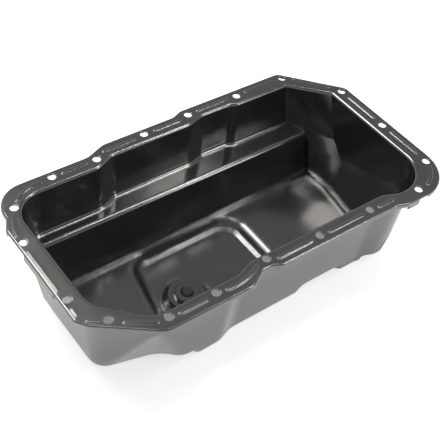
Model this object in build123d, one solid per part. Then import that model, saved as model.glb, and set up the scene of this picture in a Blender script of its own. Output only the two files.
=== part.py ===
from build123d import *
import math
import os

# Engine oil pan, one deep drawn sheet with a gasket flange, and its drain plug set.
# Millimetres. Z is up and the pan stands on its well floor at Z = 0, with the open
# side up. X runs along the crankshaft and -Y is the side with the deep well.

# Sheet, and depths measured down from the gasket face to the inside of the pan
SHEET = 1.6
FLOOR_DEPTH = 108.0
SHELF_RISE = 50.0
WELL_DROP = 10.4
PAD_DROP = 5.5
SHELF_DEPTH = FLOOR_DEPTH - SHELF_RISE
WELL_DEPTH = FLOOR_DEPTH + WELL_DROP
FRONT_PAD_DEPTH = FLOOR_DEPTH + PAD_DROP
RAIL_Z = WELL_DEPTH + SHEET

# Room that cutting bodies take beyond what they cut, above, beside and below
HEADROOM = 5.0
POCKET_HEADROOM = 8.0
BELOW = 20.0
BESIDE = 150.0
PLATE_X = 600.0
PLATE_Y = 400.0
GROUND_THICK = 60.0
FAR = 1000.0

# Draft angles, in degrees from vertical
WALL_DRAFT = 4.0
WELL_SLOPE = 40.0
PAD_SLOPE = 16.0
TOE_SLOPE = 21.0
DRAIN_SLOPE = 40.0

# Edge of the gasket flange, each corner as x, y, radius
FLANGE_CORNERS = [
    (-224, -70, 6),
    (-216, -81, 8),
    (-160, -123, 22),
    (-61, -123, 14),
    (-42, -112, 12),
    (-30, -112, 8),
    (-21, -117, 8),
    (134, -117, 18),
    (150, -122, 15),
    (224, -122, 46),
    (224, 61, 10),
    (167, 123, 12),
    (24, 123, 15),
    (12, 118, 15),
    (-80, 118, 20),
    (-103, 109, 20),
    (-216, 109, 33),
    (-216, 73, 6),
    (-224, 58, 6),
]

# Lip turned down along the flange edge: its depth, deeper stretches and open stretches,
# each stretch as its low corner and high corner seen from above
LIP_DEPTH = 5.0
DEEP_LIP_DEPTH = 9.0
LIP_BEND_R = 2.0
LIP_DEEP = [((150, -130), (166, -110)), ((-230, -32), (-215, 23))]
LIP_OPEN = [
    ((166, -130), (180, -100)),
    ((-230, -130), (-160, -67)),
    ((-230, -57), (-210, -32)),
    ((-230, 23), (-210, 55)),
]

# Bolt holes of the flange, in the groups that share a spacing
BOLT_HOLE_R = 4.5
LEFT_PAIRS_X = (-150, -97)
LEFT_PAIRS_Y = (-110, 101)
BACK_ROW_X = (29, 98, 167)
BACK_ROW_Y = 113
RIGHT_COLUMN_X = 214.5
RIGHT_COLUMN_Y = (-83, -12.5, 58)
FRONT_ROW_X = (36, 106)
FRONT_ROW_Y = -106
LEFT_COLUMN_X = -217
LEFT_COLUMN_Y = (-45, 36)
SINGLE_HOLES = [(-203, 81), (-32, 110), (174, -111), (-30, -102), (-198, -84)]

# Narrow beads pressed into the flange between the bolt holes, each as its two ends, and
# those that bend, each as its start, a point on the way and its end
BEAD_RISE = 0.8
BEAD_WIDTH = 4.4
BEAD_DRAFT = 45.0
BEAD_LINES = [
    ((-186, -94.5), (-162, -109)),
    ((-138, -112), (-110, -112)),
    ((-18, -107.5), (24, -107.5)),
    ((48, -107.5), (94, -107.5)),
    ((118, -108), (138, -108)),
    ((-213, -75.5), (-207, -80)),
    ((-218, -57), (-218, -66)),
    ((-218.5, 24), (-218.5, -33)),
    ((-137, 100.5), (-110, 100.5)),
    ((-84, 107.5), (-46, 107.5)),
    ((-18, 109), (14, 109)),
    ((43, 113.5), (84, 113.5)),
    ((112, 113.5), (153, 113.5)),
    ((178, 104), (206, 72)),
    ((214.5, 44), (214.5, 2)),
    ((214.5, -27), (214.5, -68)),
]
BENT_BEADS = [
    ((-195, 89), (-184, 96.5), (-164, 99)),
    ((-209.5, 70.5), (-215, 58), (-218, 46)),
    ((-85, -112.5), (-63, -111.5), (-43, -104)),
    ((211.4, -92), (202.6, -102.3), (189.1, -110.2)),
]

# Mouth of the basin where its inside wall meets the gasket face
MOUTH_CORNERS = [
    (-202, -59, 28),
    (-160, -102, 28),
    (-66, -102, 30),
    (-46, -95, 24),
    (134, -95, 20),
    (152, -103, 28),
    (202, -103, 42),
    (202, 100, 12),
    (90, 100, 10),
    (82, 104, 12),
    (42, 104, 16),
    (22, 98, 16),
    (-80, 98, 18),
    (-100, 89, 18),
    (-202, 89, 30),
]

# Flat floor of the deep well
WELL_CORNERS = [
    (-70, -150, 10),
    (44, -150, 10),
    (44, 37.5, 20),
    (-84, 36, 18),
    (-98, -30, 30),
    (-98, -76, 14),
]

# Shallow pressed pad beside the front wall
PAD_CORNERS = [
    (108, -150, 10),
    (142, -150, 10),
    (142, -60, 12),
    (108, -60, 12),
]
PAD_RIM_R = 5.0

# Sloping toe of the front left wall: the edge of its material at the main floor's depth
TOE_CORNERS = [
    (-400, -400, 60),
    (-104, -400, 60),
    (-104, -112, 44),
    (-124, -78, 50),
    (-400, -7, 60),
]
TOE_TOP_DEPTH = 20.0

# Chamfer of the back right corner, which turns as it goes down: its depth below the
# gasket face, its end towards the back wall and its end towards the right wall
CHAMFER_BELOW_WELL = 11.6
CHAMFER_LINES = [
    (-2 * HEADROOM, (160.4, 102.4), (203.9, 65.6)),
    (FLOOR_DEPTH / 2, (170.4, 93.5), (198.4, 37)),
    (WELL_DEPTH + CHAMFER_BELOW_WELL, (178.3, 39.3), (173.9, 18.7)),
]
CHAMFER_REACH = 120.0

# Step that carries the windage shelf, along the back wall
STEP_TOP_Y = 69.0
STEP_FOOT_LEFT_Y = 44.0
STEP_FOOT_RIGHT_Y = 52.0
STEP_END_X = 240.0
STEP_BACK_Y = 200.0

# Radii of the bends on the inside of the sheet
WELL_RIM_R = 7.0
NOSE_R = 6.0
LEFT_FLOOR_R = 6.0
WELL_FRONT_R = 7.0
RIGHT_FRONT_R = 5.2
RIGHT_FLOOR_R = 3.0
FOOT_R = 6.0
TOE_RIDGE_R = 20.0
MOUTH_R = 4.0

# Bends where the walls meet the main floor, in the order they are made, each with the low
# and high corner of its stretch seen from above, and the same for the well's front
FLOOR_BENDS = [
    (RIGHT_FLOOR_R, (155, -FAR), (FAR, 25)),
    (LEFT_FLOOR_R, (-FAR, -FAR), (-115, 40)),
    (RIGHT_FRONT_R, (55, -FAR), (FAR, -80)),
]
WELL_FRONT = ((-FAR, -FAR), (FAR, -75))

# Facets that cut the lower right corner: a point on each and its outward normal
FACET_DEPTH = 72.0
LOWER_FACETS = [((198, 23, RAIL_Z - FACET_DEPTH), (0.881, -0.134, -0.452))]

# Pockets pressed below the main floor: outline, depth, slope and radius of the rim
POCKETS = [
    (WELL_CORNERS, WELL_DEPTH, WELL_SLOPE, WELL_RIM_R),
    (PAD_CORNERS, FRONT_PAD_DEPTH, PAD_SLOPE, PAD_RIM_R),
]

# Raised disc for the drain plug
DRAIN_X = -61.5
DRAIN_Y = -28.5
DRAIN_BASE_R = 26.5
DRAIN_RISE = 7.0
DRAIN_HOLE_R = 7.2

# Welded boss, plug and washer of the drain
THREAD_R = 6.6
THREAD_GAP = 0.05
BOSS_R = 14.0
BOSS_HEIGHT = 4.4
BOSS_BEVEL = 1.0
WASHER_THICK = 1.2
WASHER_R = 11.0
HEAD_ACROSS_FLATS = 17.0
HEAD_HEIGHT = 5.2
PLUG_TIP = 1.6
ON_FLOOR = (Align.CENTER, Align.CENTER, Align.MIN)
UNDER = (Align.CENTER, Align.CENTER, Align.MAX)


def moved_corners(corners, grow):
    """Corners of the same outline with every side moved outwards by grow.

    Outlines run counter-clockwise. A round outward corner gains the movement on its
    radius and a round inward corner loses it, so the skins stay parallel.
    """
    result = []
    for index, (x, y, radius) in enumerate(corners):
        before = Vector(*corners[index - 1][:2])
        here = Vector(x, y)
        after = Vector(*corners[(index + 1) % len(corners)][:2])
        along = (here - before).normalized()
        onward = (after - here).normalized()
        side = Vector(along.Y, -along.X)
        next_side = Vector(onward.Y, -onward.X)
        moved = here + (side + next_side) * (grow / (1 + side.dot(next_side)))
        turns_left = along.X * onward.Y - along.Y * onward.X > 0
        result.append((moved.X, moved.Y, radius + grow if turns_left else radius - grow))
    return result


def face_of(corners, height=0.0, grow=0.0):
    """Level face inside rounded corners, moved outwards by grow, at one height."""
    moved = moved_corners(corners, grow)
    points = [(x, y) for x, y, radius in moved]
    radii = [radius for x, y, radius in moved]
    return Pos(0, 0, height) * make_face(FilletPolyline(*points, radius=radii, close=True))


def skin_growth(grow, slope):
    """Sideways shift at the bottom of a sloping wall when its skin moves out by grow."""
    angle = math.radians(slope)
    return grow * (1 - math.sin(angle)) / math.cos(angle)


def drafted(face, height, slope):
    """Body up from a level face, whose sides lean outwards by slope as they go up."""
    body = extrude(face, amount=height)
    sides = body.faces().filter_by(lambda side: abs(side.normal_at().Z) < 0.5)
    return draft(sides, Plane.XY.offset(face.center().Z), -slope)


def tapered(corners, low_z, high_z, low_grow, slope):
    """Drafted body inside rounded corners, which are moved outwards by low_grow at low_z."""
    return drafted(face_of(corners, low_z, low_grow), high_z - low_z, slope)


def shell(depth, grow):
    """Drafted body of the whole pan, carried up past the gasket face."""
    low_z = RAIL_Z - depth - grow
    low_grow = skin_growth(grow, WALL_DRAFT) - depth * math.tan(math.radians(WALL_DRAFT))
    return tapered(MOUTH_CORNERS, low_z, RAIL_Z + HEADROOM, low_grow, WALL_DRAFT)


def pocket(corners, depth, top_depth, slope, grow):
    """Pressed pocket with a flat floor at depth and walls that open upwards."""
    low_z = RAIL_Z - depth - grow
    return tapered(corners, low_z, RAIL_Z - top_depth, skin_growth(grow, slope), slope)


def half_space(origin, normal, grow):
    """Big block beyond a plane, the plane moved along its normal by grow."""
    plane = Plane(origin=origin, z_dir=normal).offset(grow)
    return plane * Pos(0, 0, FAR / 2) * Box(FAR, FAR, FAR)


def step_section(x, foot_y, grow):
    """Section of the sheet's step below the shelf, in the plane of one x."""
    slope = (STEP_TOP_Y - foot_y) / (FLOOR_DEPTH - SHELF_DEPTH)
    shift = grow * math.hypot(1, slope)
    shelf_z = RAIL_Z - SHELF_DEPTH - grow
    low_z = -BELOW
    top_y = STEP_TOP_Y + shift - slope * grow
    low_y = STEP_TOP_Y + shift - slope * (RAIL_Z - SHELF_DEPTH - low_z)
    front = [(x, top_y, shelf_z), (x, low_y, low_z)]
    corners = front + [(x, STEP_BACK_Y, low_z), (x, STEP_BACK_Y, shelf_z)]
    return Face(Wire.make_polygon([Vector(*corner) for corner in corners], close=True))


def step_block(grow):
    """Material under the shelf, lofted from one end of the pan to the other."""
    left = step_section(-STEP_END_X, STEP_FOOT_LEFT_Y, grow)
    right = step_section(STEP_END_X, STEP_FOOT_RIGHT_Y, grow)
    return Solid.make_loft([left.outer_wire(), right.outer_wire()], ruled=True)


def chamfer_section(depth, back_end, right_end, grow):
    """Level section of the material behind the chamfer, its line extended both ways."""
    start = Vector(*back_end)
    end = Vector(*right_end)
    along = (end - start).normalized()
    outward = Vector(-along.Y, along.X)
    start = start - along * CHAMFER_REACH + outward * grow
    end = end + along * CHAMFER_REACH + outward * grow
    corners = [start, end, end + outward * BESIDE, start + outward * BESIDE]
    height = RAIL_Z - depth
    return Wire.make_polygon([Vector(p.X, p.Y, height) for p in corners], close=True)


def chamfer_block(grow):
    sections = [chamfer_section(*line, grow) for line in CHAMFER_LINES]
    return Solid.make_loft(sections, ruled=True)


def toe_block(grow):
    """Material side of the sloping toe, which leans in under the front left wall."""
    angle = math.radians(TOE_SLOPE)
    low_z = -HEADROOM
    drop = RAIL_Z - FLOOR_DEPTH - low_z
    low_grow = drop * math.tan(angle) - grow / math.cos(angle)
    return tapered(TOE_CORNERS, low_z, RAIL_Z - TOE_TOP_DEPTH, low_grow, -TOE_SLOPE)


def drain_disc(grow):
    """Disc raised into the well, which leaves room for the plug's head below."""
    shrink = skin_growth(grow, DRAIN_SLOPE)
    run = DRAIN_RISE * math.tan(math.radians(DRAIN_SLOPE))
    body = Cone(DRAIN_BASE_R - shrink, DRAIN_BASE_R - shrink - run, DRAIN_RISE, align=ON_FLOOR)
    return Pos(DRAIN_X, DRAIN_Y, RAIL_Z - WELL_DEPTH - grow) * body


def level_edges(body, height):
    """Edges that lie level at one height."""
    found = body.edges().filter_by_position(Axis.Z, height - 0.05, height + 0.05)
    return found.filter_by(lambda edge: abs((edge @ 0.5).Z - height) < 0.05)


def rounded(body, height, radius, chosen):
    """Body with the level edges at one height rounded where chosen says so."""
    return body.fillet(radius, level_edges(body, height).filter_by(lambda e: chosen(e @ 0.5)))


def with_pocket(body, opening, radius, floor_z):
    """Body with a pocket cut into its floor and the pocket's rim rounded."""
    cut = body - opening
    rims = new_edges(body, opening, combined=cut)
    rims = rims.filter_by(lambda edge: (edge @ 0.5).Z > floor_z - 0.05)
    return cut.fillet(radius, rims)


def at_step_foot(at):
    return abs(at.Y - (STEP_FOOT_LEFT_Y + STEP_FOOT_RIGHT_Y) / 2) < STEP_TOP_Y - STEP_FOOT_RIGHT_Y


def ground(grow):
    """Everything below the floors and behind the step, opened where pockets go deeper."""
    floor_z = RAIL_Z - FLOOR_DEPTH - grow
    step = step_block(grow)
    body = Pos(0, 0, floor_z) * Box(PLATE_X, PLATE_Y, GROUND_THICK, align=UNDER) + step
    body = rounded(body, floor_z, FOOT_R + grow, at_step_foot)
    for corners, depth, slope, radius in POCKETS:
        opening = pocket(corners, depth, FLOOR_DEPTH - POCKET_HEADROOM, slope, grow) - step
        body = with_pocket(body, opening, radius - grow, floor_z)
    nose = level_edges(body, RAIL_Z - SHELF_DEPTH - grow).sort_by(Axis.Y)[:1]
    return body.fillet(NOSE_R - grow, nose)


def within(at, low, high):
    """Whether a place lies between two corners seen from above."""
    return low[0] < at.X < high[0] and low[1] < at.Y < high[1]


def rounded_foot(body, grow):
    """Bends where the walls come down to the floor, the step, the shelf and the well."""
    floor_z = RAIL_Z - FLOOR_DEPTH - grow
    well_z = RAIL_Z - WELL_DEPTH - grow
    for radius, low, high in FLOOR_BENDS:
        body = rounded(body, floor_z, radius + grow, lambda at: within(at, low, high))
    return rounded(body, well_z, WELL_FRONT_R + grow, lambda at: within(at, *WELL_FRONT))


def walls(grow):
    """Room inside all the upright walls, with the ridge of the toe rounded."""
    body = shell(WELL_DEPTH, grow)
    toe = toe_block(grow)
    cut = body - toe
    ridges = new_edges(body, toe, combined=cut)
    low_z = RAIL_Z - WELL_DEPTH - grow
    return cut.fillet(TOE_RIDGE_R + grow, ridges.filter_by(lambda edge: (edge @ 0.5).Z > low_z + 1))


def inside_the_plate(at):
    return abs(at.X) < PLATE_X / 2 - HEADROOM and abs(at.Y) < PLATE_Y / 2 - HEADROOM


def flared(body, grow):
    """Body opened out above the flange, with the bend all round the mouth."""
    under = RAIL_Z - grow
    above = Pos(0, 0, under) * Box(PLATE_X, PLATE_Y, 2 * HEADROOM + grow, align=ON_FLOOR)
    return rounded(body + above, under, MOUTH_R - grow, inside_the_plate)


def basin(grow):
    """Room inside the pan when grow is 0, and the pan's outside when grow is the sheet."""
    body = walls(grow) - ground(grow) - chamfer_block(grow)
    for origin, normal in LOWER_FACETS:
        body = body - half_space(origin, normal, grow)
    return rounded_foot(body - drain_disc(grow), grow)


def flange_tray(depth):
    """Flange plate with a lip of one depth turned down all round its edge."""
    outside = extrude(face_of(FLANGE_CORNERS, RAIL_Z), amount=-depth)
    outside = outside.fillet(LIP_BEND_R, outside.faces().sort_by(Axis.Z)[-1].edges())
    inner_face = face_of(FLANGE_CORNERS, RAIL_Z - SHEET, -SHEET)
    inside = extrude(inner_face, amount=-depth)
    return outside - inside


def stretch_block(corners, top_z):
    """Block under one stretch of the flange edge, from top_z down."""
    (low_x, low_y), (high_x, high_y) = corners
    size = (high_x - low_x, high_y - low_y)
    middle = ((low_x + high_x) / 2, (low_y + high_y) / 2, top_z)
    return Pos(*middle) * Box(*size, RAIL_Z, align=(Align.CENTER, Align.CENTER, Align.MAX))


def flange():
    """Flange plate with its lips, still closed over the mouth."""
    body = flange_tray(LIP_DEPTH)
    deep = flange_tray(DEEP_LIP_DEPTH)
    for corners in LIP_DEEP:
        body = body + (deep & stretch_block(corners, RAIL_Z))
    for corners in LIP_OPEN:
        body = body - stretch_block(corners, RAIL_Z - SHEET)
    return body


def bolt_places():
    places = [(x, y) for x in LEFT_PAIRS_X for y in LEFT_PAIRS_Y]
    places = places + [(x, BACK_ROW_Y) for x in BACK_ROW_X]
    places = places + [(RIGHT_COLUMN_X, y) for y in RIGHT_COLUMN_Y]
    places = places + [(x, FRONT_ROW_Y) for x in FRONT_ROW_X]
    places = places + [(LEFT_COLUMN_X, y) for y in LEFT_COLUMN_Y]
    return places + SINGLE_HOLES


def bead_face(points, width):
    """Level face with round ends that runs along one bead, straight or bent."""
    line = Line(*points) if len(points) == 2 else ThreePointArc(*points)
    return Face(Wire([line.edge()]).offset_2d(width / 2))


def with_beads(body):
    for points in BEAD_LINES + BENT_BEADS:
        ridge = Pos(0, 0, RAIL_Z) * bead_face(points, BEAD_WIDTH)
        body = body + drafted(ridge, BEAD_RISE, -BEAD_DRAFT)
    return body


def oil_pan_body():
    inside = flared(basin(0), 0)
    outside = flared(basin(SHEET), SHEET)
    outline = extrude(face_of(FLANGE_CORNERS, 0, -SHEET), amount=RAIL_Z)
    body = with_beads(flange() + (outside & outline) - inside)
    drill = Cylinder(BOLT_HOLE_R, BELOW)
    holes = [Pos(x, y, RAIL_Z) * drill for x, y in bolt_places()]
    drain_hole = Pos(DRAIN_X, DRAIN_Y, SHEET + DRAIN_RISE) * Cylinder(DRAIN_HOLE_R, BELOW)
    return body - holes - drain_hole


def turned(profile):
    """Round part about the drain's axis from its radius and height profile."""
    line = Polyline(*[(radius, 0, height) for radius, height in profile], close=True)
    return Pos(DRAIN_X, DRAIN_Y, 0) * revolve(make_face(line), Axis.Z)


def drain_boss():
    """Threaded boss that is welded on the raised disc, inside the pan."""
    foot = SHEET + DRAIN_RISE
    top = foot + BOSS_HEIGHT
    bore = THREAD_R + BOSS_BEVEL
    return turned([
        (THREAD_R, foot),
        (BOSS_R, foot),
        (BOSS_R, top - BOSS_BEVEL),
        (BOSS_R - BOSS_BEVEL, top),
        (bore, top),
        (THREAD_R, top - BOSS_BEVEL),
    ])


def drain_washer():
    bore = THREAD_R + THREAD_GAP
    low = DRAIN_RISE - WASHER_THICK
    return turned([(bore, low), (WASHER_R, low), (WASHER_R, DRAIN_RISE), (bore, DRAIN_RISE)])


def drain_plug():
    """Plug with a hexagon head, screwed in from below."""
    seat = DRAIN_RISE - WASHER_THICK
    top = SHEET + DRAIN_RISE + BOSS_HEIGHT + PLUG_TIP
    shank = THREAD_R - THREAD_GAP
    head = extrude(RegularPolygon(HEAD_ACROSS_FLATS / 2, 6, major_radius=False), amount=HEAD_HEIGHT)
    head = Pos(DRAIN_X, DRAIN_Y, seat - HEAD_HEIGHT) * head
    low = seat - HEAD_HEIGHT / 2
    profile = [(0, low), (shank, low), (shank, top - PLUG_TIP), (shank - PLUG_TIP, top), (0, top)]
    return head + turned(profile)


def main():
    os.makedirs("parts", exist_ok=True)
    export_step(oil_pan_body(), "parts/oil_pan_body.step")
    export_step(drain_boss(), "parts/drain_boss.step")
    export_step(drain_plug(), "parts/drain_plug.step")
    export_step(drain_washer(), "parts/drain_washer.step")


main()
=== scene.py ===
import math

import bpy
from mathutils import Matrix, Vector


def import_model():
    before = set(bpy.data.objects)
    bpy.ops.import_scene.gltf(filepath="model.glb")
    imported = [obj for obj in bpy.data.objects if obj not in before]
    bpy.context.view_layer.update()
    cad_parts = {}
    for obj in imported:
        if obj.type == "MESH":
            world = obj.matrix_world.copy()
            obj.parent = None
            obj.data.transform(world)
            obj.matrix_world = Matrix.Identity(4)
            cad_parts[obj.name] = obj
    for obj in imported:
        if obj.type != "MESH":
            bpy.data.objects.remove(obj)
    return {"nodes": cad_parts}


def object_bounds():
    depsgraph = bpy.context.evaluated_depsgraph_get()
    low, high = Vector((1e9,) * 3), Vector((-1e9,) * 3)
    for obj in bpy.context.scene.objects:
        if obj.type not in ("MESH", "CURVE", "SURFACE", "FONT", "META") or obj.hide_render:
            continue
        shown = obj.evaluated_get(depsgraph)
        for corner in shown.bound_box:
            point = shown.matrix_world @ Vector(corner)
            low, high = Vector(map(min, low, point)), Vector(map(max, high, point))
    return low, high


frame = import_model()
first_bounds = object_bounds()

# The photograph's camera, in metres in the part's frame
CAMERA_AT = Vector((-0.4629, -0.4911, 0.7595))
CAMERA_RIGHT = Vector((0.7965, -0.5951, 0.1067))
CAMERA_UP = Vector((0.3724, 0.6218, 0.6890))
CAMERA_LENS = 72.98
CAMERA_CLIP = (0.01, 50)
SENSOR = 36.0

# Heights and places on the pan, in metres
BEAD_RISE = 0.0008
FACE_Z = first_bounds[1][2] - BEAD_RISE
DISC_TOP_Z = 0.0086
PAN_MIDDLE = (0, 0, 0.05)
SHELF_TOP = (-0.035, 0.09, 0.066)
LEFT_FLOOR_FOOT = (-0.150, 0.045, 0.012)
FRONT_BEAD = (-0.064, -0.11, FACE_Z)

# Where the shading widens the bends, and by what radius: each range is a fade, in metres
CORNER_X = (0.145, 0.155)
CORNER_Z = (0.050, 0.060)
FLOOR_BEND_Z = (0.030, 0.040)
FLANGE_Z = (FACE_Z - 0.008, FACE_Z - 0.006)
DISC_R = (0.028, 0.031)
FLOOR_BEND_R = 0.009
CORNER_BEND_R = 0.012
FLANGE_BEND_R = 0.0015
BEND_SAMPLES = 8

# The gasket face, told from the rest of the paint by its height and its upward normal
GASKET_Z = (FACE_Z - 0.0012, FACE_Z - 0.0006)
GASKET_UP = (0.75, 0.95)

# A noise is its scale, detail and roughness, and a bump its strength and distance
CLOUD_RANGE = (0.3, 0.7)
PAINT_CLOUD = (22, 4, 0.6)
PAINT_WAVE = (14, 1, 0.5)
PAINT_BUMP = (0.05, 0.002)
METAL_CLOUD = (160, 4, 0.6)
METAL_BUMP = (0.2, 0.0002)

# Black paint: colours are linear, and the cloud runs from the first value of a pair to the second
GLOSS = (0.14, 0.20)
SATIN = (0.17, 0.23)
DEEP_BLACK = ((0.010, 0.010, 0.009), (0.016, 0.016, 0.014))
WORN_BLACK = ((0.014, 0.014, 0.013), (0.026, 0.026, 0.024))
PAINT_IOR = 2.3
PAINT_SHEEN = (1.0, 0.985, 0.95)

# Plug and washer
METAL_SHADES = (0.8, 1.15)
METAL_SPREAD = 0.08
ZINC = (0.50, 0.49, 0.45)
ZINC_ROUGHNESS = 0.35
ALUMINIUM = (0.62, 0.62, 0.61)
ALUMINIUM_ROUGHNESS = 0.32
SPRAYED_BLACK = (0.02, 0.02, 0.019)
SPRAY_FADE = 0.001

# The white studio
FLOOR_R = 6
FLOOR_CORNERS = 96
FLOOR_WHITE = (0.85, 0.85, 0.85)
FLOOR_ROUGHNESS = 0.9
FLOOR_GLOW = 0.6
HORIZON = (0.05, 0.5)
WHITE = (1, 1, 1)
OVERHEAD_GREY = (0.32, 0.32, 0.32)

# Lamps: name, way from the target to the lamp, distance, size, radiance (1 looks white), target
LAMPS = [
    ("back_bar", (-0.22, 0.51, 0.83), 1.6, (0.9, 0.40), 12.0, PAN_MIDDLE),
    ("overhead", (-0.12, 0.10, 0.99), 1.6, (0.40, 0.36), 6.0, PAN_MIDDLE),
    ("shelf_lamp", (0.476, -0.404, 0.781), 1.15, (0.12, 0.12), 22.0, SHELF_TOP),
    ("foot_lamp", (0.476, -0.10, 0.874), 1.1, (0.08, 0.44), 16.0, LEFT_FLOOR_FOOT),
    ("bead_lamp", (0.62, -0.64, 0.45), 1.2, (0.26, 0.16), 14.0, FRONT_BEAD),
]

# Sockets of the Mix node for each data type: first value, second value, result
MIX_SOCKETS = {"RGBA": (6, 7, 2), "VECTOR": (4, 5, 1)}


def rgba(colour, factor=1.0):
    """Colour with its alpha, lighter or darker by a factor."""
    return (*(min(1.0, level * factor) for level in colour), 1)


def feed(tree, socket, value):
    """Link a socket to another node's output, or set it to a plain value."""
    if isinstance(value, bpy.types.NodeSocket):
        tree.links.new(value, socket)
    else:
        socket.default_value = value


def new_material(name):
    material = bpy.data.materials.new(name)
    material.use_nodes = True
    tree = material.node_tree
    tree.nodes.clear()
    out = tree.nodes.new("ShaderNodeOutputMaterial")
    shader = tree.nodes.new("ShaderNodeBsdfPrincipled")
    tree.links.new(shader.outputs["BSDF"], out.inputs["Surface"])
    return material, tree, shader


def coordinates(tree, kind):
    return tree.nodes.new("ShaderNodeTexCoord").outputs[kind]


def surface_normal(tree):
    return tree.nodes.new("ShaderNodeNewGeometry").outputs["Normal"]


def split(tree, vector):
    node = tree.nodes.new("ShaderNodeSeparateXYZ")
    tree.links.new(vector, node.inputs[0])
    return node.outputs


def noise(tree, coords, scale, detail, roughness):
    node = tree.nodes.new("ShaderNodeTexNoise")
    node.inputs["Scale"].default_value = scale
    node.inputs["Detail"].default_value = detail
    node.inputs["Roughness"].default_value = roughness
    tree.links.new(coords, node.inputs["Vector"])
    return node.outputs["Fac"]


def mapped(tree, value, ends, to_ends):
    """Value carried from one range to another, and held at the range's ends."""
    node = tree.nodes.new("ShaderNodeMapRange")
    node.inputs["From Min"].default_value, node.inputs["From Max"].default_value = ends
    node.inputs["To Min"].default_value, node.inputs["To Max"].default_value = to_ends
    tree.links.new(value, node.inputs["Value"])
    return node.outputs["Result"]


def rising(tree, value, ends):
    return mapped(tree, value, ends, (0, 1))


def falling(tree, value, ends):
    return mapped(tree, value, ends, (1, 0))


def math_node(tree, operation, first, second):
    node = tree.nodes.new("ShaderNodeMath")
    node.operation = operation
    feed(tree, node.inputs[0], first)
    feed(tree, node.inputs[1], second)
    return node.outputs[0]


def mixed(tree, data_type, factor, first, second):
    node = tree.nodes.new("ShaderNodeMix")
    node.data_type = data_type
    first_at, second_at, result_at = MIX_SOCKETS[data_type]
    feed(tree, node.inputs[0], factor)
    feed(tree, node.inputs[first_at], first)
    feed(tree, node.inputs[second_at], second)
    return node.outputs[result_at]


def bumped(tree, height, strength, distance, base=None):
    node = tree.nodes.new("ShaderNodeBump")
    node.inputs["Strength"].default_value = strength
    node.inputs["Distance"].default_value = distance
    tree.links.new(height, node.inputs["Height"])
    if base is not None:
        tree.links.new(base, node.inputs["Normal"])
    return node.outputs["Normal"]


def drain_axis():
    """X and Y of the drain, the middle of the washer's box."""
    washer = frame["nodes"]["drain_washer"]
    corners = [washer.matrix_world @ Vector(corner) for corner in washer.bound_box]
    middle = sum(corners, Vector()) / len(corners)
    return middle.x, middle.y


def away_from_drain(tree, place):
    """1 outside the drain's disc and 0 on it."""
    drain_x, drain_y = drain_axis()
    away = math_node(tree, "POWER", math_node(tree, "SUBTRACT", place["X"], drain_x), 2)
    aside = math_node(tree, "POWER", math_node(tree, "SUBTRACT", place["Y"], drain_y), 2)
    inner, outer = DISC_R
    return rising(tree, math_node(tree, "ADD", away, aside), (inner ** 2, outer ** 2))


def bent_normal(tree, place):
    """Normal that widens the bends of the floors and the back right corner, and a little the flange's."""
    corner = math_node(
        tree, "MULTIPLY", rising(tree, place["X"], CORNER_X), falling(tree, place["Z"], CORNER_Z)
    )
    flange = rising(tree, place["Z"], FLANGE_Z)
    floors = math_node(
        tree, "MULTIPLY", falling(tree, place["Z"], FLOOR_BEND_Z), away_from_drain(tree, place)
    )
    wide = mapped(tree, corner, (0, 1), (FLOOR_BEND_R, CORNER_BEND_R))
    narrower = math_node(tree, "MULTIPLY", flange, FLOOR_BEND_R - FLANGE_BEND_R)
    bend = tree.nodes.new("ShaderNodeBevel")
    bend.samples = BEND_SAMPLES
    tree.links.new(math_node(tree, "SUBTRACT", wide, narrower), bend.inputs["Radius"])
    inside = math_node(tree, "MAXIMUM", corner, floors)
    bent = math_node(tree, "MAXIMUM", inside, flange)
    return mixed(tree, "VECTOR", bent, surface_normal(tree), bend.outputs["Normal"])


def gasket_face(tree, place):
    """1 on the flange's gasket face and 0 elsewhere."""
    high = rising(tree, place["Z"], GASKET_Z)
    up = rising(tree, split(tree, surface_normal(tree))["Z"], GASKET_UP)
    return math_node(tree, "MULTIPLY", high, up)


def paint():
    """Black stoving paint: glossy in the pan, worn to a satin grey on the gasket face."""
    material, tree, shader = new_material("black_paint")
    coords = coordinates(tree, "Object")
    place = split(tree, coords)
    face = gasket_face(tree, place)
    cloud = noise(tree, coords, *PAINT_CLOUD)
    gloss = mapped(tree, cloud, CLOUD_RANGE, GLOSS)
    satin = mapped(tree, cloud, CLOUD_RANGE, SATIN)
    rougher = math_node(tree, "MULTIPLY", math_node(tree, "SUBTRACT", satin, gloss), face)
    tree.links.new(math_node(tree, "ADD", gloss, rougher), shader.inputs["Roughness"])
    deep = mixed(tree, "RGBA", cloud, rgba(DEEP_BLACK[0]), rgba(DEEP_BLACK[1]))
    worn = mixed(tree, "RGBA", cloud, rgba(WORN_BLACK[0]), rgba(WORN_BLACK[1]))
    tree.links.new(mixed(tree, "RGBA", face, deep, worn), shader.inputs["Base Color"])
    shader.inputs["IOR"].default_value = PAINT_IOR
    shader.inputs["Specular Tint"].default_value = rgba(PAINT_SHEEN)
    wave = noise(tree, coords, *PAINT_WAVE)
    tree.links.new(bumped(tree, wave, *PAINT_BUMP, bent_normal(tree, place)), shader.inputs["Normal"])
    return material


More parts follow.
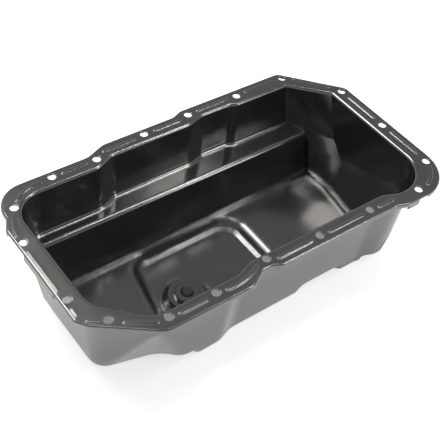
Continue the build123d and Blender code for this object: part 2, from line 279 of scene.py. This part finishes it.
def plated(name, colour, roughness):
    """Bare metal with a fine grain, sprayed black where it stands above the disc in the well."""
    material, tree, shader = new_material(name)
    coords = coordinates(tree, "Object")
    cloud = noise(tree, coords, *METAL_CLOUD)
    dark, light = METAL_SHADES
    metal = mixed(tree, "RGBA", cloud, rgba(colour, dark), rgba(colour, light))
    sprayed = rising(tree, split(tree, coords)["Z"], (DISC_TOP_Z, DISC_TOP_Z + SPRAY_FADE))
    painted = mixed(tree, "RGBA", sprayed, metal, rgba(SPRAYED_BLACK))
    tree.links.new(painted, shader.inputs["Base Color"])
    tree.links.new(math_node(tree, "SUBTRACT", 1.0, sprayed), shader.inputs["Metallic"])
    rough = mapped(tree, cloud, CLOUD_RANGE, (roughness - METAL_SPREAD, roughness + METAL_SPREAD))
    tree.links.new(rough, shader.inputs["Roughness"])
    tree.links.new(bumped(tree, cloud, *METAL_BUMP), shader.inputs["Normal"])
    return material


def dress():
    black = paint()
    looks = {
        "oil_pan_body": black,
        "drain_boss": black,
        "drain_plug": plated("zinc_steel", ZINC, ZINC_ROUGHNESS),
        "drain_washer": plated("washer_metal", ALUMINIUM, ALUMINIUM_ROUGHNESS),
    }
    for name, material in looks.items():
        materials = frame["nodes"][name].data.materials
        materials.clear()
        materials.append(material)


def floor():
    """White floor that takes the shadow and glows a little where it is seen."""
    bpy.ops.mesh.primitive_circle_add(
        vertices=FLOOR_CORNERS, radius=FLOOR_R, fill_type="NGON", location=(0, 0, 0)
    )
    disc = bpy.context.object
    disc.name = "floor"
    material, tree, shader = new_material("floor_white")
    shader.inputs["Base Color"].default_value = rgba(FLOOR_WHITE)
    shader.inputs["Roughness"].default_value = FLOOR_ROUGHNESS
    shader.inputs["Specular IOR Level"].default_value = 0.0
    shader.inputs["Emission Color"].default_value = rgba(WHITE)
    path = tree.nodes.new("ShaderNodeLightPath").outputs
    seen = math_node(tree, "ADD", path["Is Camera Ray"], path["Is Glossy Ray"])
    seen = math_node(tree, "ADD", seen, path["Is Transmission Ray"])
    tree.links.new(math_node(tree, "MULTIPLY", seen, FLOOR_GLOW), shader.inputs["Emission Strength"])
    disc.data.materials.append(material)


def world():
    """Studio room: white at the horizon and below it, greyer overhead."""
    studio = bpy.data.worlds.new("studio")
    bpy.context.scene.world = studio
    studio.use_nodes = True
    tree = studio.node_tree
    tree.nodes.clear()
    out = tree.nodes.new("ShaderNodeOutputWorld")
    back = tree.nodes.new("ShaderNodeBackground")
    height = rising(tree, split(tree, coordinates(tree, "Generated"))["Z"], HORIZON)
    room = mixed(tree, "RGBA", height, rgba(WHITE), rgba(OVERHEAD_GREY))
    tree.links.new(room, back.inputs["Color"])
    tree.links.new(back.outputs[0], out.inputs[0])


def softbox(name, direction, distance, size, radiance, target):
    """Rectangular lamp that stands off from its target in one direction and faces it."""
    data = bpy.data.lights.new(name, "AREA")
    data.shape = "RECTANGLE"
    data.size, data.size_y = size
    data.energy = radiance * math.pi * data.size * data.size_y
    lamp = bpy.data.objects.new(name, data)
    bpy.context.scene.collection.objects.link(lamp)
    way = Vector(direction).normalized()
    lamp.location = Vector(target) + way * distance
    lamp.rotation_mode = "QUATERNION"
    lamp.rotation_quaternion = way.to_track_quat("Z", "Y")


def camera():
    data = bpy.data.cameras.new("camera")
    data.lens = CAMERA_LENS
    data.sensor_width = SENSOR
    data.clip_start, data.clip_end = CAMERA_CLIP
    eye = bpy.data.objects.new("camera", data)
    bpy.context.scene.collection.objects.link(eye)
    back = CAMERA_RIGHT.cross(CAMERA_UP).normalized()
    up = back.cross(CAMERA_RIGHT).normalized()
    right = up.cross(back)
    turn = Matrix((right, up, back)).transposed()
    eye.matrix_world = Matrix.Translation(CAMERA_AT) @ turn.to_4x4()
    bpy.context.scene.camera = eye


dress()
floor()
world()
for lamp_values in LAMPS:
    softbox(*lamp_values)
camera()
bpy.context.scene.view_settings.view_transform = "Standard"
